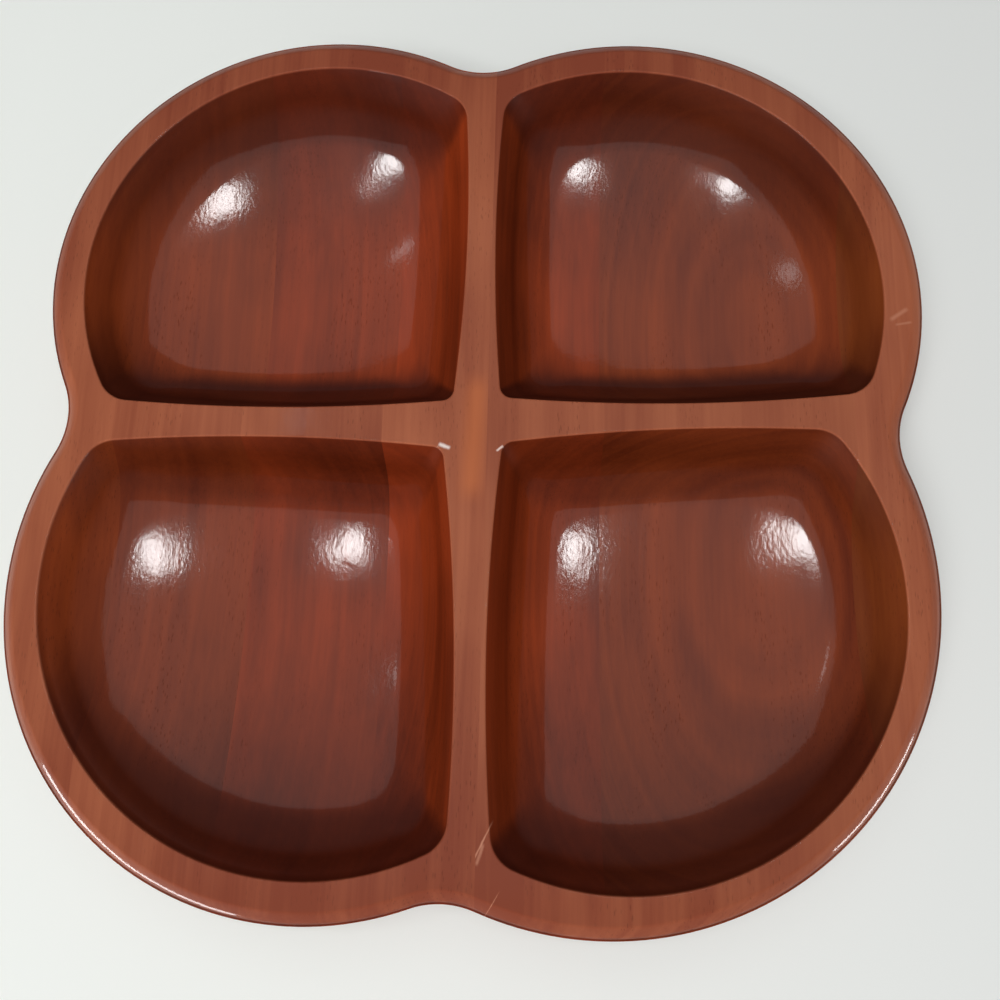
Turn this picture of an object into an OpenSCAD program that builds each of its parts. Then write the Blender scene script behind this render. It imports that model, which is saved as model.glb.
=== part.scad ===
// Divided serving bowl: four rounded lobes round a cross of low dividers, carved from seven
// boards that are glued edge to edge. The boards run from front to back.
// X goes across the boards to the right, Y along them to the back, and Z is up. The origin is
// on the table, under the middle of the bowl. All sizes are in millimetres.

/* [Bowl] */
// Height from the table to the rim
bowl_h = 42; // [40:1:48]
// Radius of the outside, where it turns under the rim towards the base
belly_r = 56; // [52:1:70]
// Rounding of the rim's outer edge
rim_edge_r = 3; // [1:0.5:4]
// Radius of the hollow between two lobes
notch_r = 30; // [20:1:45]

/* [Back left lobe] */
// Radius of the lobe
back_left_r = 101; // [96:1:106]
// Reach of its outermost point from the middle of the bowl, across the boards
back_left_side = 158; // [153:1:163]
// Reach of its outermost point from the middle of the bowl, along the boards
back_left_end = 162.5; // [157:0.5:168]

/* [Back right lobe] */
// Radius of the lobe
back_right_r = 105; // [100:1:110]
// Reach of its outermost point from the middle of the bowl, across the boards
back_right_side = 160; // [155:1:165]
// Reach of its outermost point from the middle of the bowl, along the boards
back_right_end = 161.5; // [156:0.5:167]

/* [Front left lobe] */
// Radius of the lobe
front_left_r = 108; // [103:1:113]
// Reach of its outermost point from the middle of the bowl, across the boards
front_left_side = 160; // [155:1:165]
// Reach of its outermost point from the middle of the bowl, along the boards
front_left_end = 161; // [156:0.5:166]

/* [Front right lobe] */
// Radius of the lobe
front_right_r = 111; // [106:1:116]
// Reach of its outermost point from the middle of the bowl, across the boards
front_right_side = 160; // [155:1:165]
// Reach of its outermost point from the middle of the bowl, along the boards
front_right_end = 162.5; // [157:0.5:168]

/* [Rim and dividers] */
// Width of the rim's flat top, measured along a lobe's radius
rim_w = 11; // [8:0.5:16]
// Width of a divider where it is narrowest
divider_w = 10.5; // [8:0.5:16]
// Place of the back divider's middle line, to the right of the bowl's middle
back_divider_x = 1; // [-6:0.5:8]
// Place of the front divider's middle line, to the right of the bowl's middle
front_divider_x = 1.5; // [-6:0.5:8]
// Place of the left divider's middle line, to the back of the bowl's middle
left_divider_y = 6; // [0:0.5:12]
// Place of the right divider's middle line, to the back of the bowl's middle
right_divider_y = 10; // [4:0.5:16]
// Radius of the long bow along each side of a divider
divider_bow_r = 650; // [400:10:1200]

/* [Compartments] */
// Depth of a compartment below the rim, at the lowest point of its floor
well_depth = 29; // [27:1:31]
// Radius of the dish that a compartment's floor is part of
floor_r = 260; // [220:10:400]
// Radius of the cove between a wall and the floor
cove_r = 20; // [12:1:22]
// Lean of the walls outwards from upright, in degrees
wall_lean = 9; // [4:1:14]
// Rounding of the edge between the rim and a compartment
lip_r = 1.2; // [0.5:0.1:2]
// Corner radius of a compartment at the crossing of the dividers
cross_corner_r = 6; // [3:0.5:12]
// Corner radius of a compartment where a divider meets the rim
rim_corner_r = 12; // [6:0.5:18]
// How much a corner's radius grows for each millimetre that the outline shrinks with depth
corner_growth = 0.35; // [0.2:0.05:0.4]

/* [Boards] */
// Width of the left edge board
left_edge_w = 32; // [20:1:40]
// Width of the next board, under the outer half of the left compartments
left_outer_w = 46; // [30:1:60]
// Width of the board beside the middle board, on its left
left_inner_w = 50; // [30:1:60]
// Width of the middle board, which carries the dividers that run along the boards
middle_w = 37; // [30:1:45]
// Place of the middle board's middle line, to the right of the bowl's middle
middle_x = -13.5; // [-14:0.5:-10]
// Width of the board beside the middle board, on its right
right_inner_w = 41; // [30:1:50]
// Width of the wide board under both right compartments
right_wide_w = 87; // [60:1:95]
// Width of the right edge board
right_edge_w = 27; // [20:1:40]

/* [Hidden] */
$fn = 96;

// Overrun of cuts past the surfaces that they open
over = 2;

// Step by which a web stands proud of its lobes where it ends, so that it ends on clean lines, and
// how far it reaches into them
web_step = 0.1;
web_root = 0.5;

// Steps in which the curves of a compartment are drawn
arc_steps = 20;
bow_steps = 3;
corner_steps = 3;
lip_steps = 2;
cove_steps = 4;

// Place of a floor's lowest point, as shares of the compartment's length across and along the boards,
// from the dividers on. The floors are lowest near the crossing and rise towards the rim.
low_shares = [0.26, 0.29];

// Shares of its size that a floor is drawn at, from the foot of the walls to its lowest point
floor_shares = [0.8, 0.5, 0.2];

// The bowl is carved about a middle that is set so that the whole of it is centred on the origin
left_reach = max(back_left_side, front_left_side);
right_reach = max(back_right_side, front_right_side);
back_reach = max(back_left_end, back_right_end);
front_reach = max(front_left_end, front_right_end);
middle = [(left_reach - right_reach) / 2, (front_reach - back_reach) / 2];
bowl_w = left_reach + right_reach;
bowl_l = front_reach + back_reach;

// Each lobe is [side across, side along, distance of its middle across and along, radius]
function lobe(across, along, side, end, r) = [across, along, side - r, end - r, r];
back_left = lobe(-1, 1, back_left_side, back_left_end, back_left_r);
back_right = lobe(1, 1, back_right_side, back_right_end, back_right_r);
front_left = lobe(-1, -1, front_left_side, front_left_end, front_left_r);
front_right = lobe(1, -1, front_right_side, front_right_end, front_right_r);
function lobe_middle(lobe) = [lobe[0] * lobe[2], lobe[1] * lobe[3]];

// The point that lies ra from a and rb from b, to the left of the way from a to b
function meet(a, ra, b, rb) =
    let (d = norm(b - a), along = (b - a) / d,
         x = (ra * ra - rb * rb + d * d) / (2 * d),
         y = sqrt(max(ra * ra - x * x, 0)))
    a + along * x + [-along[1], along[0]] * y;
function heading(v) = atan2(v[1], v[0]);
function turn(from, to) = let (way = (to - from) % 360) way < 0 ? way + 360 : way;
// Points round an arc, without its last point, which the next arc starts with
function arc(c, r, from, to, steps) =
    [for (i = [0 : steps - 1])
        let (a = from + turn(from, to) * i / steps) c + r * [cos(a), sin(a)]];

// Outline of a compartment, shrunk by inset, counter-clockwise in the lobe's own quarter: an arc
// along the rim, and two long bows along the dividers. w is the place of the bows' middles.
function well_outline(lobe, w, inset) =
    let (c = [lobe[2], lobe[3]], r = lobe[4] - rim_w,
         bow = divider_bow_r - inset, outer = r - inset,
         near_r = cross_corner_r + corner_growth * max(inset, 0),
         far_r = rim_corner_r + corner_growth * max(inset, 0),
         u = [w[0] + divider_bow_r, (w[1] + c[1] + r) / 2],
         v = [(w[0] + c[0] + r) / 2, w[1] + divider_bow_r],
         corner_u = meet(c, outer - far_r, u, bow - far_r),
         corner_uv = meet(u, bow - near_r, v, bow - near_r),
         corner_v = meet(v, bow - far_r, c, outer - far_r))
    concat(
        arc(c, outer, heading(corner_v - c), heading(corner_u - c), arc_steps),
        arc(corner_u, far_r, heading(corner_u - c), heading(corner_u - u), corner_steps),
        arc(u, bow, heading(corner_u - u), heading(corner_uv - u), bow_steps),
        arc(corner_uv, near_r, heading(corner_uv - u), heading(corner_uv - v), corner_steps),
        arc(v, bow, heading(corner_uv - v), heading(corner_v - v), bow_steps),
        arc(corner_v, far_r, heading(corner_v - v), heading(corner_v - c), corner_steps));

// Steps down the wall of a compartment: lip, wall and cove. Each is [inset, height over a floor that
// lies as high as the wall's top, share of the wall's height that it lies lower over a real floor].
floor_z = bowl_h - well_depth;
lip_middle = [-lip_r, bowl_h - lip_r];
wall_top = lip_middle + lip_r * [cos(wall_lean), sin(wall_lean)];
cove_top_z = floor_z + cove_r * (1 - sin(wall_lean));
cove_top = [wall_top[0] + (wall_top[1] - cove_top_z) * tan(wall_lean), cove_top_z];
cove_middle = cove_top + cove_r * [cos(wall_lean), sin(wall_lean)];
well_steps = concat(
    [[-lip_r, bowl_h + over, 0]],
    [for (i = [0 : lip_steps])
        let (a = 90 - (90 - wall_lean) * i / lip_steps)
        [each (lip_middle + lip_r * [cos(a), sin(a)]), 0]],
    [for (i = [0 : cove_steps])
        let (a = 180 + wall_lean + (90 - wall_lean) * i / cove_steps,
             p = cove_middle + cove_r * [cos(a), sin(a)])
        [p[0], wall_top[1], (wall_top[1] - p[1]) / (wall_top[1] - floor_z)]]);

// Height of a floor at p, where low is its lowest point
function dish_z(low, p) = floor_z + (p - low) * (p - low) / (2 * floor_r);

function backwards(list) = [for (i = [len(list) - 1 : -1 : 0]) list[i]];

// A solid through rings of points, each counter-clockwise and above the one before
module loft(rings) {
    n = len(rings[0]);
    last = len(rings) - 1;
    polyhedron(
        points = [for (ring = rings) each ring],
        faces = concat(
            [[for (i = [0 : n - 1]) i]],
            [for (k = [0 : last - 1], i = [0 : n - 1])
                [k * n + i, (k + 1) * n + i, (k + 1) * n + (i + 1) % n]],
            [for (k = [0 : last - 1], i = [0 : n - 1])
                [k * n + i, (k + 1) * n + (i + 1) % n, k * n + (i + 1) % n]],
            [[for (i = [n - 1 : -1 : 0]) last * n + i]]));
}

// The space of one compartment, from its floor up to above the rim. The middle of the floor is flat.
module well(lobe, w) {
    foot = well_outline(lobe, w, well_steps[len(well_steps) - 1][0]);
    low = [for (k = [0, 1]) w[k] + (lobe[k + 2] + lobe[4] - rim_w - w[k]) * low_shares[k]];
    rings = concat(
        [for (share = backwards(floor_shares)) [for (p = foot)
            let (q = low + (p - low) * share)
            [each q, share == min(floor_shares) ? floor_z : dish_z(low, q)]]],
        [for (step = backwards(well_steps)) [for (p = well_outline(lobe, w, step[0]))
            [each p, step[1] - step[2] * (wall_top[1] - dish_z(low, p))]]]);
    loft([for (ring = rings)
        let (placed = [for (p = ring) [lobe[0] * p[0], lobe[1] * p[1], p[2]]])
        lobe[0] * lobe[1] > 0 ? placed : backwards(placed)]);
}

module back_left_well() {
    well(back_left, [divider_w / 2 - back_divider_x, divider_w / 2 + left_divider_y]);
}

module back_right_well() {
    well(back_right, [divider_w / 2 + back_divider_x, divider_w / 2 + right_divider_y]);
}

module front_left_well() {
    well(front_left, [divider_w / 2 - front_divider_x, divider_w / 2 - left_divider_y]);
}

module front_right_well() {
    well(front_right, [divider_w / 2 + front_divider_x, divider_w / 2 - right_divider_y]);
}

// Section of the outside of a lobe, from its widest line inwards to its middle
module side_section(r) {
    widest = bowl_h - rim_edge_r;
    translate([rim_edge_r, widest]) square([r - rim_edge_r, rim_edge_r]);
    intersection() {
        translate([rim_edge_r, widest]) circle(rim_edge_r);
        translate([0, widest]) square(rim_edge_r);
    }
    intersection() {
        translate([belly_r, widest]) circle(belly_r);
        square([belly_r, widest]);
    }
    translate([belly_r, 0]) square([r - belly_r, widest]);
}

// The whole round of one lobe, turned about its middle
module lobe_solid(lobe) {
    translate(lobe_middle(lobe)) rotate_extrude() intersection() {
        translate([lobe[4], 0]) mirror([1, 0]) side_section(lobe[4] + over);
        square([lobe[4], bowl_h]);
    }
}

// The web that fills the sharp notch between lobe a and the next one, b. Its outside is a hollow
// with the same section, turned about an axis outside the bowl.
module web(a, b) {
    pa = lobe_middle(a);
    pb = lobe_middle(b);
    axis = meet(pb, b[4] + notch_r + web_step, pa, a[4] + notch_r + web_step);
    intersection() {
        linear_extrude(bowl_h) polygon([axis, axis + (pa - axis) * web_root, axis + (pb - axis) * web_root]);
        translate(axis) rotate(heading(axis))
            rotate_extrude() translate([notch_r, 0]) side_section(max(a[4], b[4]));
    }
}

module lobe_and_web(a, b) {
    lobe_solid(a);
    web(a, b);
}

// The outside of the bowl's left side, of its right side and of the stretch between them
module left_side() {
    lobe_and_web(back_left, front_left);
    lobe_solid(front_left);
}

module right_side() {
    lobe_and_web(front_right, back_right);
    lobe_solid(back_right);
}

module middle_stretch() {
    lobe_and_web(front_left, front_right);
    lobe_solid(back_left);
    lobe_and_web(back_right, back_left);
    lobe_solid(front_right);
}

// One board: the slice of the first child from the board's left glue face to its right one, less
// the other children
module board(left, right) {
    difference() {
        intersection() {
            translate([left, -bowl_l, -over]) cube([right - left, 2 * bowl_l, bowl_h + 2 * over]);
            translate(middle) children(0);
        }
        translate(middle) children([1 : $children - 1]);
    }
}

// The boards' left glue faces. The boards on each side of the middle one fill what it leaves of the
// bowl's width, in proportion to their own widths.
middle_at = middle_x - middle_w / 2;
right_inner_at = middle_at + middle_w;
left_fit = (middle_at + bowl_w / 2) / (left_edge_w + left_outer_w + left_inner_w);
right_fit = (bowl_w / 2 - right_inner_at) / (right_inner_w + right_wide_w + right_edge_w);
left_outer_at = left_edge_w * left_fit - bowl_w / 2;
left_inner_at = left_outer_at + left_outer_w * left_fit;
right_wide_at = right_inner_at + right_inner_w * right_fit;
right_edge_at = right_wide_at + right_wide_w * right_fit;

module left_edge_board() {
    color("#8f4a2e") board(-bowl_w / 2 - over, left_outer_at) {
        left_side();
        back_left_well();
        front_left_well();
    }
}

module left_outer_board() {
    color("#7f4129") board(left_outer_at, left_inner_at) {
        left_side();
        back_left_well();
        front_left_well();
    }
}

module left_inner_board() {
    color("#94502f") board(left_inner_at, middle_at) {
        left_side();
        back_left_well();
        front_left_well();
    }
}

module middle_board() {
    color("#87462c") board(middle_at, right_inner_at) {
        middle_stretch();
        back_left_well();
        back_right_well();
        front_left_well();
        front_right_well();
    }
}

module right_inner_board() {
    color("#8f4a2e") board(right_inner_at, right_wide_at) {
        middle_stretch();
        back_right_well();
        front_right_well();
    }
}

module right_wide_board() {
    color("#99553a") board(right_wide_at, right_edge_at) {
        right_side();
        back_right_well();
        front_right_well();
    }
}

module right_edge_board() {
    color("#87462c") board(right_edge_at, bowl_w / 2 + over) {
        right_side();
        back_right_well();
        front_right_well();
    }
}

left_edge_board();
left_outer_board();
left_inner_board();
middle_board();
right_inner_board();
right_wide_board();
right_edge_board();
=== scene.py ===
import math
import bmesh
import bpy
from mathutils import Matrix, Vector


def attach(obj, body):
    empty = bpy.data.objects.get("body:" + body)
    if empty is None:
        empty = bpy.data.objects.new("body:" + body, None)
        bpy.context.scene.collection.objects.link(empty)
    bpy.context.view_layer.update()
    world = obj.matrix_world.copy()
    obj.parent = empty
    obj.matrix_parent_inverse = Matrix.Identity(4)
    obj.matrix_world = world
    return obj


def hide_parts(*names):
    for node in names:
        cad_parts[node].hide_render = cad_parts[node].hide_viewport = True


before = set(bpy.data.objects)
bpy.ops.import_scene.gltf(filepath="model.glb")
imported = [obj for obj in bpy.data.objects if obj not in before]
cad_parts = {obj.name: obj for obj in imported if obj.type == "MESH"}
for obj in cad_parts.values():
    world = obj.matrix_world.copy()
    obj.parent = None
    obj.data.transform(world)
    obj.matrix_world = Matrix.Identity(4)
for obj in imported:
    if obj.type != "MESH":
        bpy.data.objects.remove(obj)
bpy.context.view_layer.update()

# The carved bowl, before it is parted into its boards
# Mahogany boards are glued edge to edge and the whole is then carved: four rounded lobes outside,
# a flat rim, a cross of low dividers and four dished compartments. Sizes here are in millimetres.
MM = 0.001
BOWL_H = 42.0
HALF_WIDTH = 160.0
BEVEL_W = 4.0
BEVEL_TOP = 1.1  # how much farther in than its width the bevel begins
BEVEL_STEPS = ((8, 0.35), (17, 0.35), (26, 0.45), (30, 0.9), (33, 0.9), (36, 0.9), (42, 0.45),
               (52, 0.3), (63, 0.2), (75, 0.1))  # tilt in degrees and how far out it runs
BELLY_TOP = 3.0  # how far under the rim the outside begins to turn in
BELLY_R = 56.0
NOTCH_R = 30.0
LOBES = {  # side across, side along, distance across, distance along, radius
    "back left": (-1, 1, 57.0, 61.5, 101.0),
    "front left": (-1, -1, 52.0, 53.0, 108.0),
    "front right": (1, -1, 45.4, 49.5, 113.0),
    "back right": (1, 1, 55.0, 56.5, 105.0),
}


def meet(a, ra, b, rb):
    """The point that lies ra from a and rb from b, to the left of the way from a to b."""
    way = b - a
    d = way.length
    x = (ra * ra - rb * rb + d * d) / (2 * d)
    y = math.sqrt(max(ra * ra - x * x, 0.0))
    way = way / d
    return a + way * x + Vector((-way.y, way.x)) * y


def heading(v):
    return math.atan2(v.y, v.x)


def around(c, r, start, sweep, steps):
    """Points round an arc, without its last one, which the next arc starts with."""
    return [c + r * Vector((math.cos(start + sweep * i / steps), math.sin(start + sweep * i / steps)))
            for i in range(steps)]


def outline(inset):
    """The bowl's outline, shrunk by inset: four lobes joined by four round hollows."""
    lobes = list(LOBES.values())
    middles = [Vector((s[0] * s[2], s[1] * s[3])) for s in lobes]
    hollows = [meet(middles[(i + 1) % 4], lobes[(i + 1) % 4][4] + NOTCH_R,
                    middles[i], lobes[i][4] + NOTCH_R) for i in range(4)]
    points = []
    for i in range(4):
        m, before, after, following = middles[i], hollows[i - 1], hollows[i], middles[(i + 1) % 4]
        start = heading(before - m)
        points += around(m, lobes[i][4] - inset, start, (heading(after - m) - start) % math.tau, 72)
        start = heading(m - after)
        sweep = -((start - heading(following - after)) % math.tau)
        points += around(after, NOTCH_R + inset, start, sweep, 20)
    return points


def ring(bm, points):
    """A closed ring of edges through points."""
    verts = bmesh.ops.create_circle(bm, cap_ends=False, segments=len(points), radius=1.0)["verts"]
    for v, p in zip(verts, points):
        v.co = p
    return list({e for v in verts for e in v.link_edges})


def loft(bm, rings):
    """Skins between each ring and the next. Returns the first and the last ring's edges."""
    loops = [ring(bm, points) for points in rings]
    for lower, upper in zip(loops, loops[1:]):
        bmesh.ops.bridge_loops(bm, edges=lower + upper)
    return loops[0], loops[-1]


def belly(z):
    """How far the outside has turned in under the rim at height z."""
    return BELLY_R - math.sqrt(BELLY_R ** 2 - (BOWL_H - BELLY_TOP - z) ** 2)


form = bmesh.new()
foot = belly(0.0)
# up the side: how far in and how high, from the base's slightly rounded edge to the rim
side = [(foot + 0.9, 0.0), (foot + 0.35, 0.06), (foot - 0.05, 0.3), (belly(0.8), 0.8)]
side += [(belly(z), z) for z in (3, 6, 9, 12, 15, 18, 21, 24, 27, 30, 33, 36, 39)]
bevel = [(BEVEL_W + BEVEL_TOP, BOWL_H)]
for tilt, run in BEVEL_STEPS:
    bevel.append((bevel[-1][0] - run, bevel[-1][1] - run * math.tan(math.radians(tilt))))
side += bevel[::-1] + [(BEVEL_W + 2.0, BOWL_H)]
base_ring, rim_ring = loft(form, [[(p.x, p.y, z) for p in outline(inset)] for inset, z in side])

# The compartments' edges are an arc along the rim and two long bows along the dividers, and their
# floors are dishes, carved by eye, so that no two are alike. Each has its lobe, the places of the
# dividers beside it and behind or before it, how far off its middle each bow is nearest to them, the
# middle and radius of its arc, its floor's lowest point, and its floor's radius and twist.
COMPARTMENTS = [
    ("back left", (4.25, 11.25), (0.0, 0.0), (57.0, 61.5, 88.1), (51.2, 57.4), 241.8, 0.00063),
    ("front left", (3.67, -0.15), (24.0, 0.0), (52.0, 51.8, 95.4), (42.3, 41.3), 271.9, 0.0),
    ("front right", (6.75, -5.5), (0.0, 26.0), (52.0, 54.5, 94.2), (43.6, 40.0), 297.8, 0.0),
    ("back right", (6.25, 14.15), (0.0, -19.0), (54.4, 56.5, 91.4), (50.2, 59.7), 234.1, 0.0005),
]
BOW_R = 650.0
NEAR_R, NEAR_GROWTH = 4.5, 0.45  # corner at the crossing, and how much it widens per millimetre in
FAR_R, FAR_GROWTH = 12.0, 0.35  # corners at the rim
LIP_R = 0.6
LEAN = math.radians(20.0)
COVE_R = 17.0
WELL_DEPTH = 29.0


def well_outline(dividers, slants, arc, inset):
    """A compartment's edge, shrunk by inset, in its own quarter of the bowl."""
    (across, along), (cx, cy, r) = dividers, arc
    c = Vector((cx, cy))
    near_r = NEAR_R + NEAR_GROWTH * max(inset, 0.0)
    far_r = FAR_R + FAR_GROWTH * max(inset, 0.0)
    bow, outer = BOW_R - inset, r - inset
    u = Vector((across + BOW_R, (along + cy + r) / 2 + slants[0]))
    v = Vector(((across + cx + r) / 2 + slants[1], along + BOW_R))
    at_u = meet(c, outer - far_r, u, bow - far_r)
    at_uv = meet(u, bow - near_r, v, bow - near_r)
    at_v = meet(v, bow - far_r, c, outer - far_r)
    points = []
    for m, radius, start, stop, steps in (
            (c, outer, at_v - c, at_u - c, 60), (at_u, far_r, at_u - c, at_u - u, 12),
            (u, bow, at_u - u, at_uv - u, 24), (at_uv, near_r, at_uv - u, at_uv - v, 12),
            (v, bow, at_uv - v, at_v - v, 24), (at_v, far_r, at_v - v, at_v - c, 12)):
        points += around(m, radius, heading(start), (heading(stop) - heading(start)) % math.tau, steps)
    return points


# Down the wall: how far in, the height where the floor lies as high as the wall's top, and the share
# of the wall's height that it lies lower over a real floor.
floor_z = BOWL_H - WELL_DEPTH
wall = [(-LIP_R - 0.5, BOWL_H, 0.0)]
for degrees in (90, 76, 62, 48, 35, 22, 9):
    a = math.radians(degrees)
    wall.append((-LIP_R + LIP_R * math.cos(a), BOWL_H - LIP_R * (1 - math.sin(a)), 0.0))
wall_in, wall_z, _ = wall[-1]
cove_z = floor_z + COVE_R * (1 - math.sin(LEAN))
cove_in = wall_in + (wall_z - cove_z) * math.tan(LEAN)
wall += [(wall_in + (cove_in - wall_in) * part, wall_z,
          part * (wall_z - cove_z) / (wall_z - floor_z)) for part in (0.33, 0.67)]
COVE_STEPS = 16
for i in range(COVE_STEPS + 1):
    a = math.pi + LEAN + (math.pi / 2 - LEAN) * i / COVE_STEPS
    rise = COVE_R * (1 + math.sin(a))
    wall.append((cove_in + COVE_R * (math.cos(LEAN) + math.cos(a)), wall_z,
                 1 - rise / (wall_z - floor_z)))
# the floor's rings, as shares of the way from its lowest point to the cove
FLOOR_SHARES = (0.94, 0.88, 0.82, 0.76, 0.7, 0.64, 0.58, 0.52, 0.46, 0.4, 0.34, 0.28, 0.22, 0.16,
                0.1, 0.05, 0.0)
well_rings = []
for lobe, dividers, slants, arc, lowest, floor_r, twist in COMPARTMENTS:
    sx, sy, *_ = LOBES[lobe]
    low = Vector(lowest)

    def dish(p):
        d = p - low
        return floor_z + d.length_squared / (2 * floor_r) + twist * d.x * d.y

    rings = []
    for inset, height, drop in wall:
        rings.append([(p, height - drop * (wall_z - dish(p)))
                      for p in well_outline(dividers, slants, arc, inset)])
    for share in FLOOR_SHARES:
        edge = [low + (p - low) * share for p, _ in rings[len(wall) - 1]]
        rings.append([(p, dish(p)) for p in edge])
    top, _ = loft(form, [[(sx * p.x, sy * p.y, z) for p, z in points] for points in rings])
    well_rings += top
bmesh.ops.remove_doubles(form, verts=form.verts, dist=1e-4)
bmesh.ops.triangle_fill(form, use_beauty=True, use_dissolve=False, edges=rim_ring + well_rings)
bmesh.ops.triangle_fill(form, use_beauty=True, use_dissolve=False, edges=base_ring)
bmesh.ops.recalc_face_normals(form, faces=form.faces)
form.normal_update()
carved = form.verts.layers.float_vector.new("carved_normal")
for v in form.verts:
    v[carved] = v.normal
for f in form.faces:
    f.smooth = True
for v in form.verts:  # the rim's top and the base are flat right up to their rounded edges
    if abs(v.co.z - BOWL_H) < 1e-4 or abs(v.co.z) < 1e-4:
        v[carved] = Vector((0, 0, 1 if v.co.z > 1 else -1))


# The left edge board
# The outermost board on the left, of lacquered mahogany, with the left side's rim. Each board is the
# slice of the carved bowl between its glue faces, which meet the next boards' with no gap.
def board(name, left, right):
    """The slice of the carved bowl from left to right, closed with flat glue faces."""
    bm = form.copy()
    for x, out in ((left, -1), (right, 1)):
        if abs(x) < HALF_WIDTH:  # the two outermost sides are the bowl's own
            everything = bm.verts[:] + bm.edges[:] + bm.faces[:]
            cut = bmesh.ops.bisect_plane(bm, geom=everything, dist=1e-4, plane_co=(x, 0, 0),
                                         plane_no=(out, 0, 0), clear_outer=True)
            rim = [e for e in cut["geom_cut"] if isinstance(e, bmesh.types.BMEdge)]
            cap = bmesh.ops.triangle_fill(bm, use_beauty=True, use_dissolve=False, edges=rim)
            for f in cap["geom"]:
                if isinstance(f, bmesh.types.BMFace):
                    f.smooth = False
                    f.normal_update()
                    if f.normal.x * out < 0:
                        f.normal_flip()
    bmesh.ops.scale(bm, vec=(MM, MM, MM), verts=bm.verts)
    layer = bm.verts.layers.float_vector["carved_normal"]
    bm.normal_update()
    bm.verts.index_update()
    normals = [(v[layer].normalized() if f.smooth else f.normal.copy())
               for f in bm.faces for v in f.verts]
    mesh = bpy.data.meshes.new(name)
    bm.to_mesh(mesh)
    bm.free()
    mesh.normals_split_custom_set(normals)
    mesh.attributes.remove(mesh.attributes["carved_normal"])
    piece = bpy.data.objects.new(name, mesh)
    bpy.context.scene.collection.objects.link(piece)
    return piece


def srgb(r, g, b):
    """A colour as it shows on a screen, 0 to 255, in the shader's linear values."""
    return tuple(((c / 255 + 0.055) / 1.055) ** 2.4 if c > 10 else c / 3294
                 for c in (r, g, b)) + (1.0,)


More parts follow.
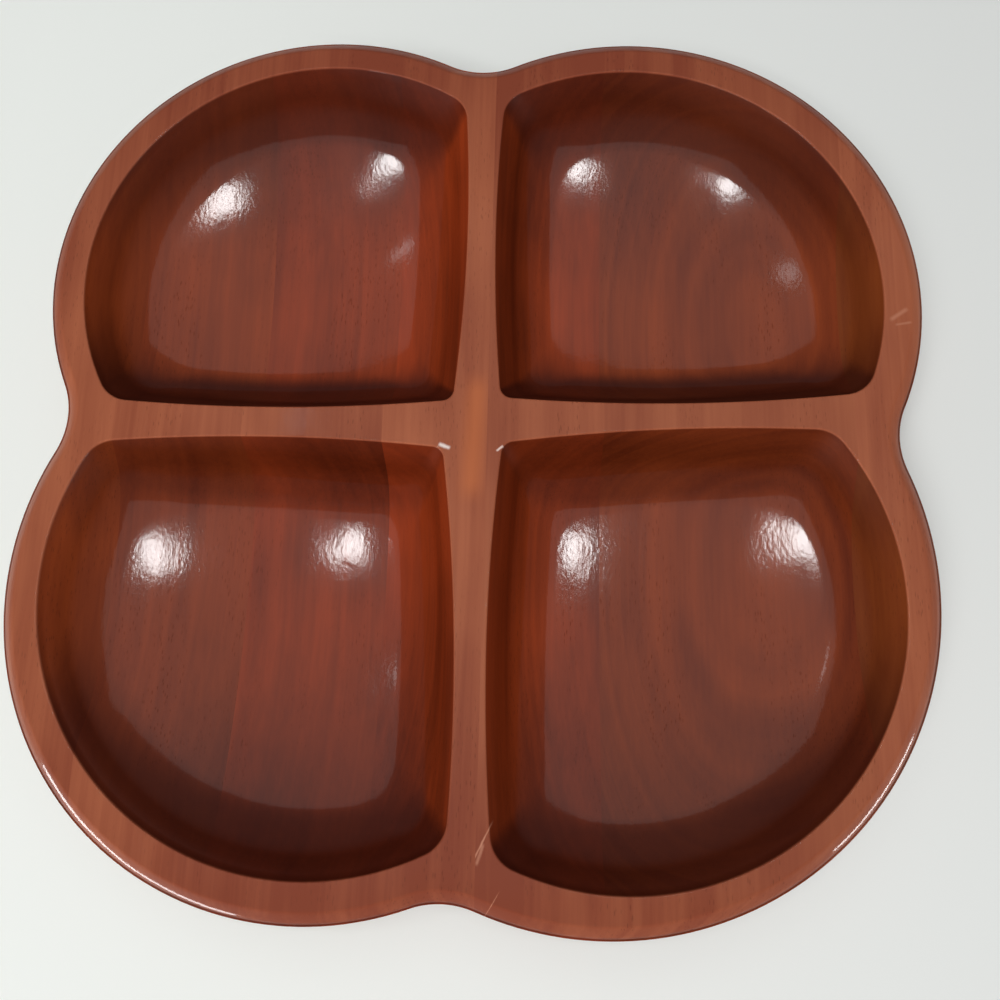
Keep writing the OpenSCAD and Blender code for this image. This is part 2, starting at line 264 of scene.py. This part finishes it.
def mahogany(name, pith, ring_mm, redness, pale, seed, marks=(), figure=0.2):
    """Lacquered mahogany. pith is the place of the tree's heart beside the board, across and up in
    millimetres, which sets whether the figure is straight ribbons or flat-sawn ovals. redness and pale
    shift the colour of the compartments and of the rim. marks are scratches, paler streaks and pale
    spots that are painted glints, each with its place, its turn in degrees, its length, its width, how
    strong it is and its colour. figure is how plainly the rings show."""
    mat = bpy.data.materials.new(name)
    mat.use_nodes = True
    tree = mat.node_tree
    tree.nodes.clear()

    def put(kind, links=(), **settings):
        n = tree.nodes.new("ShaderNode" + kind)
        for key, value in settings.items():
            setattr(n, key, value)
        for socket, source in links:
            if isinstance(source, bpy.types.NodeSocket):
                tree.links.new(source, n.inputs[socket])
            else:
                n.inputs[socket].default_value = source
        return n

    def calc(op, a, b=0.0):
        return put("Math", [(0, a), (1, b)], operation=op).outputs[0]

    def ramp(value, low, high, to_low=0.0, to_high=1.0):
        return put("MapRange", [("Value", value), ("From Min", low), ("From Max", high),
                                ("To Min", to_low), ("To Max", to_high)],
                   interpolation_type="SMOOTHSTEP").outputs[0]

    def blend(share, a, b):
        return put("Mix", [(0, share), (6, a), (7, b)], data_type="RGBA").outputs[2]

    place = put("TexCoord").outputs["Object"]
    x, y, z = put("SeparateXYZ", [(0, place)]).outputs
    facing = put("SeparateXYZ", [(0, put("TexCoord").outputs["Normal"])]).outputs

    def grain(scale, detail, rough, shift):
        """Noise with its own scale each way. A low scale along the boards draws it out."""
        m = put("Mapping", [("Vector", place), ("Location", (seed + shift, seed * 0.7, shift)),
                            ("Scale", scale)])
        return put("TexNoise", [("Vector", m.outputs[0]), ("Scale", 1.0), ("Detail", detail),
                                ("Roughness", rough)]).outputs[0]

    # growth rings about the tree's heart, which wander a little along the board
    wander = calc("MULTIPLY", calc("SUBTRACT", grain((7, 2.6, 7), 2, 0.5, 3.1), 0.5), 0.045)
    across = calc("ADD", calc("SUBTRACT", x, pith[0] * MM), wander)
    up = calc("ADD", calc("SUBTRACT", z, pith[1] * MM), calc("MULTIPLY", wander, 0.35))
    age = put("VectorMath", [(0, put("CombineXYZ", [(0, across), (2, up)]).outputs[0])],
              operation="LENGTH").outputs["Value"]
    rings = put("TexNoise", [("W", calc("MULTIPLY", age, 1000 / ring_mm)), ("Scale", 1.0),
                             ("Detail", 3.0), ("Roughness", 0.6)], noise_dimensions="1D").outputs[0]
    ribbons = grain((30, 2.6, 22), 3, 0.5, 7.7)
    fibres = grain((600, 18, 600), 4, 0.6, 1.9)
    clouds = grain((24, 11, 18), 3, 0.55, 4.4)
    tone = calc("ADD", calc("ADD", calc("MULTIPLY", ramp(rings, 0.25, 0.75), figure),
                            calc("MULTIPLY", ramp(ribbons, 0.28, 0.72), 0.26)),
                calc("ADD", calc("MULTIPLY", ramp(fibres, 0.3, 0.7), 0.14),
                     calc("MULTIPLY", ramp(clouds, 0.3, 0.7), 0.6 - figure)))
    stained = blend(tone, srgb(88, 31, 12), srgb(146 + redness, 60, 24))
    # where the carving cuts across the boards' grain, the wood is darker, and painted shade darkens
    # the walls further, most of all the walls that face the back
    behind = ramp(y, 0.0, 0.06, 0.4, 0.68)
    end_grain_and_shade = calc("MULTIPLY", ramp(calc("ABSOLUTE", facing[1]), 0.04, 0.44),
                     ramp(facing[1], -0.05, 0.1, behind, 0.8))
    stained = blend(end_grain_and_shade, stained, srgb(50, 14, 8))
    # the top of the rim and its bevel are paler and duller, less so at the front and the back
    held = calc("SUBTRACT", tone, calc("ADD", ramp(y, -0.15, -0.07, 0.3, 0.0),
                                       ramp(y, 0.08, 0.15, 0.0, 0.4)))
    rubbed = blend(held, srgb(128, 62, 42), srgb(172 + pale, 99 + pale * 0.6, 68 + pale * 0.5))
    top = ramp(z, 0.0412, 0.0418)
    outward = calc("ADD", calc("MULTIPLY", x, facing[0]), calc("MULTIPLY", y, facing[1]))
    bevel_top = calc("MULTIPLY", ramp(z, 0.038, 0.0388), ramp(facing[2], 0.62, 0.8))
    outer_bevel = calc("MULTIPLY", bevel_top, ramp(outward, 0.02, 0.04))
    rim = calc("MAXIMUM", top, outer_bevel)
    colour = blend(rim, stained, rubbed)
    # pores: open vessels that the saw has cut along, as short dark dashes
    cells = put("Mapping", [("Vector", place), ("Location", (seed, 0, 0)),
                            ("Scale", (1150, 230, 1150))])
    dots = put("TexVoronoi", [("Vector", cells.outputs[0]), ("Scale", 1.0)]).outputs["Distance"]
    pores = calc("MULTIPLY", ramp(dots, 0.1, 0.3, 1.0, 0.0),
                 ramp(grain((60, 12, 60), 2, 0.5, 9.2), 0.4, 0.62))
    colour = blend(calc("MULTIPLY", pores, 0.3), colour, srgb(40, 14, 7))
    # marks paint scratches and paler streaks, and two pale spots at the crossing that are painted
    # glints
    for (mx, my), turn, length, width, share, tint in marks:
        m = put("Mapping", [("Vector", place), ("Location", (mx * MM, my * MM, 0)),
                            ("Rotation", (0, 0, math.radians(turn)))], vector_type="TEXTURE")
        mark_x, mark_y, _ = put("SeparateXYZ", [(0, m.outputs[0])]).outputs
        edge = calc("ADD", calc("ABSOLUTE", mark_y), calc("MULTIPLY", fibres, 0.0006))
        along_mark = ramp(calc("ABSOLUTE", mark_x), length * MM * 0.3, length * MM * 0.5, 1.0, 0.0)
        wear_and_glint = calc("MULTIPLY", along_mark, ramp(edge, 0.0003, 0.0003 + width * MM * 0.5, 1.0, 0.0))
        wear_and_glint = calc("MULTIPLY", wear_and_glint, ramp(z, 0.035, 0.039))
        colour = blend(calc("MULTIPLY", wear_and_glint, share), colour, tint)
    dull = calc("ADD", 0.46, calc("MULTIPLY", ramp(ribbons, 0.3, 0.7), 0.08))
    carving = put("Bump", [("Strength", 0.5), ("Distance", 0.001),
                           ("Height", grain((26, 18, 26), 2, 0.4, 5.5))])
    specks = calc("ADD", calc("MULTIPLY", grain((800, 420, 800), 2, 0.5, 6.1), 0.8),
                  calc("MULTIPLY", fibres, 0.15))
    texture = put("Bump", [("Strength", 0.2), ("Distance", 0.0001), ("Normal", carving.outputs[0]),
                           ("Height", calc("SUBTRACT", specks, calc("MULTIPLY", pores, 0.12)))])
    # the lacquer is thin on the rim and on its bevel at the back, and gone from the steep tops of the
    # compartments' walls, where a window would show in the corners
    thin = calc("MULTIPLY", outer_bevel, ramp(y, -0.03, 0.03, 0.0, 0.42))
    steep = calc("MULTIPLY", ramp(facing[2], 0.72, 0.84, 1.0, 0.0),
                 ramp(outward, 0.02, 0.04, 1.0, 0.0))
    wall_top = calc("MULTIPLY", ramp(z, 0.02, 0.026), steep)
    coat = calc("SUBTRACT", ramp(top, 0.0, 1.0, 0.62, 0.15),
                calc("MULTIPLY", thin, ramp(top, 0.0, 1.0, 1.0, 0.2)))
    lacquer = calc("MULTIPLY", coat, calc("SUBTRACT", 1.0, calc("MULTIPLY", pores, 0.7)))
    bare = calc("MULTIPLY", wall_top, ramp(top, 0.0, 1.0, 1.0, 0.0))
    lacquer = calc("MULTIPLY", lacquer, calc("SUBTRACT", 1.0, bare))
    shader = put("BsdfPrincipled", [("Base Color", colour), ("Roughness", dull),
                                    ("Normal", texture.outputs[0]), ("Coat Weight", lacquer),
                                    ("Coat Roughness", 0.08), ("Coat Normal", texture.outputs[0]),
                                    ("Specular IOR Level", 0.15)])
    put("OutputMaterial", [("Surface", shader.outputs[0])])
    return mat


piece = board("left_edge_piece", -160, -128)
piece.data.materials.append(mahogany("mahogany left edge", (-330, 10), 7.0, -6, 0, 1.0))
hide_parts("left_edge_board")
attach(piece, "root")

# The left outer board
# Under the outer half of both left compartments. It is darker, with straight ribbons, because it was
# sawn across the rings.
piece = board("left_outer_piece", -128, -82)
piece.data.materials.append(mahogany("mahogany left outer", (-260, 60), 6.0, -2, 0, 2.3))
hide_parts("left_outer_board")
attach(piece, "root")

# The left inner board
# Between the outer board and the middle one, a little redder, with straight ribbons too.
piece = board("left_inner_piece", -82, -32)
piece.data.materials.append(mahogany("mahogany left inner", (-240, -40), 6.5, 9, 0, 3.7))
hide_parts("left_inner_board")
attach(piece, "root")

# The middle board
# It carries the dividers that run along the boards, and the crossing.
piece = board("middle_piece", -32, 5)
piece.data.materials.append(mahogany("mahogany middle", (-150, -120), 6.0, 13, 0, 5.2, [
    ((0.5, 1), 88, 52, 13, 0.55, srgb(194, 108, 62)),
    ((-16, -60), 90, 120, 10, 0.3, srgb(170, 78, 36)),
    # a pale spot on the lip at the crossing's corner: a painted glint
    ((-9.8, -2.6), -20, 5, 2.2, 0.85, srgb(240, 226, 220))]))
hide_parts("middle_board")
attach(piece, "root")

# The right inner board
# The narrow board right of the divider, with straight grain.
piece = board("right_inner_piece", 5, 46)
# its rim is a little darker than the left boards', partly its own colour and partly a painted fall-off
# of the light towards the right
piece.data.materials.append(mahogany("mahogany right inner", (190, -150), 6.0, 8, -4, 6.9, [
    ((7.0, -134.0), 64, 16, 0.8, 0.5, srgb(222, 158, 128)),
    ((6.4, -137.5), 72, 8, 1.6, 0.35, srgb(222, 158, 128)),
    ((10.2, -153.0), 60, 12, 0.5, 0.4, srgb(222, 158, 128)),
    # a pale spot on the lip at the crossing's corner: a painted glint
    ((9.6, -3.2), 40, 3.5, 1.2, 0.8, srgb(236, 214, 204))]))
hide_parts("right_inner_board")
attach(piece, "root")

# The right wide board
# The widest board, under both right compartments. It was sawn flat across the rings, so the dished
# floors cut its rings into ovals.
piece = board("right_wide_piece", 46, 133)
# its rim is a little darker than the left boards', partly its own colour and partly a painted fall-off
# of the light towards the right
piece.data.materials.append(mahogany("mahogany right wide", (123, -62), 3.4, -5, -8, 8.4,
                                    figure=0.27))
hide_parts("right_wide_board")
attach(piece, "root")

# The right edge board
# The outermost board on the right, with the right side's rim.
piece = board("right_edge_piece", 133, 160)
# its rim is a little darker than the left boards', partly its own colour and partly a painted fall-off
# of the light towards the right
piece.data.materials.append(mahogany("mahogany right edge", (330, -30), 6.0, -20, -2, 9.8, [
    ((150.5, 48.5), 35, 9, 2.4, 0.35, srgb(206, 146, 118)),
    ((152.0, 45.0), 10, 7, 1.4, 0.3, srgb(206, 146, 118))]))
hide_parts("right_edge_board")
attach(piece, "root")
form.free()

# The table top
# A plain pale surface, wide enough to fill the view and any view from the side, painted a little
# lighter on the left than on the right as a painted fall-off of the light.
ground = bmesh.new()
bmesh.ops.create_grid(ground, x_segments=8, y_segments=8, size=1.8)
floor_mesh = bpy.data.meshes.new("table_top")
ground.to_mesh(floor_mesh)
ground.free()
floor = bpy.data.objects.new("table_top", floor_mesh)
bpy.context.scene.collection.objects.link(floor)
pale = bpy.data.materials.new("pale table top")
pale.use_nodes = True
top_tree = pale.node_tree
# lighter on the left, darker on the right: a painted fall-off of the light
painted_falloff_tone = top_tree.nodes.new("ShaderNodeMix")
painted_falloff_tone.data_type = "RGBA"
painted_falloff_tone.inputs[6].default_value = srgb(243, 246, 241)
painted_falloff_tone.inputs[7].default_value = srgb(233, 235, 232)
across_table = top_tree.nodes.new("ShaderNodeMapRange")
across_table.inputs["From Min"].default_value = -0.2
across_table.inputs["From Max"].default_value = 0.2
spot = top_tree.nodes.new("ShaderNodeTexCoord")
parts = top_tree.nodes.new("ShaderNodeSeparateXYZ")
top_tree.links.new(spot.outputs["Object"], parts.inputs[0])
top_tree.links.new(parts.outputs["X"], across_table.inputs["Value"])
top_tree.links.new(across_table.outputs[0], painted_falloff_tone.inputs[0])
top_tree.links.new(painted_falloff_tone.outputs[2], top_tree.nodes["Principled BSDF"].inputs["Base Color"])
top_tree.nodes["Principled BSDF"].inputs["Roughness"].default_value = 0.7
floor.data.materials.append(pale)

# The room's light
# A wide soft panel overhead shows as a haze on the floors, and two small lamps give each floor its
# pair of highlights, with a weaker lamp behind. Two low windows in front light the outer edges. Most
# light is a soft fill from the front left, which doesn't show in the gloss.
def lamp(name, shape, place, size, radiance, gloss=True):
    light = bpy.data.lights.new(name, "AREA")
    light.shape = shape
    light.size, light.size_y = size
    share = math.pi / 4 if shape == "DISK" else 1
    light.energy = radiance * math.pi * size[0] * size[1] * share
    holder = bpy.data.objects.new(name, light)
    turned = Vector(place).to_track_quat("Z", "Y").to_matrix().to_4x4()
    holder.matrix_world = Matrix.Translation(place) @ turned
    holder.visible_glossy = gloss
    bpy.context.scene.collection.objects.link(holder)


lamp("panel", "RECTANGLE", (0.0, 0.41, 2.2), (1.85, 1.74), 0.64)
lamp("left lamp", "DISK", (-0.402, 0.261, 2.2), (0.13, 0.13), 42.0)
lamp("right lamp", "DISK", (0.232, 0.285, 2.2), (0.13, 0.13), 42.0)
lamp("back lamp", "DISK", (-0.62, 0.72, 2.2), (0.1, 0.1), 5.0)
lamp("left window", "RECTANGLE", (-1.8, -1.8, 0.15), (2.0, 0.2), 20.0)
lamp("right window", "RECTANGLE", (2.3, -1.3, 0.15), (1.1, 0.2), 20.0)
lamp("fill", "RECTANGLE", (-0.42, -0.85, 2.05), (1.2, 1.2), 8.0, gloss=False)
world = bpy.data.worlds.new("room")
world.use_nodes = True
room = world.node_tree
dim = room.nodes["Background"]
dim.inputs["Color"].default_value = (0.95, 0.97, 1.0, 1.0)
dim.inputs["Strength"].default_value = 0.13
backdrop = room.nodes.new("ShaderNodeBackground")
backdrop.inputs["Color"].default_value = srgb(232, 235, 230)
seen = room.nodes.new("ShaderNodeLightPath")
either = room.nodes.new("ShaderNodeMixShader")
room.links.new(seen.outputs["Is Camera Ray"], either.inputs[0])
room.links.new(dim.outputs[0], either.inputs[1])
room.links.new(backdrop.outputs[0], either.inputs[2])
room.links.new(either.outputs[0], room.nodes["World Output"].inputs["Surface"])
bpy.context.scene.world = world
bpy.context.scene.view_settings.view_transform = "Standard"

# The camera
# It looks down on the bowl from the front, as the photograph does, from about a forearm's length.
eye = bpy.data.cameras.new("eye")
eye.sensor_width = 36.0
eye.lens = 36.0
camera = bpy.data.objects.new("eye", eye)
turn = (Matrix.Rotation(math.radians(0.87), 3, "Z") @ Matrix.Rotation(math.radians(2.09), 3, "Y")
        @ Matrix.Rotation(math.radians(-13.75), 3, "X") @ Matrix.Diagonal((1, -1, -1)))
NEARER = 0.0034  # moved along its own axis so that the outline fits
place = Vector((0.0228, -0.1043, 0.3794)) + turn.transposed() @ Vector((0.0, 0.0, NEARER))
aimed = turn.transposed() @ Matrix.Diagonal((1, -1, -1))
camera.matrix_world = Matrix.Translation(place) @ aimed.to_4x4()
bpy.context.scene.collection.objects.link(camera)
bpy.context.scene.camera = camera
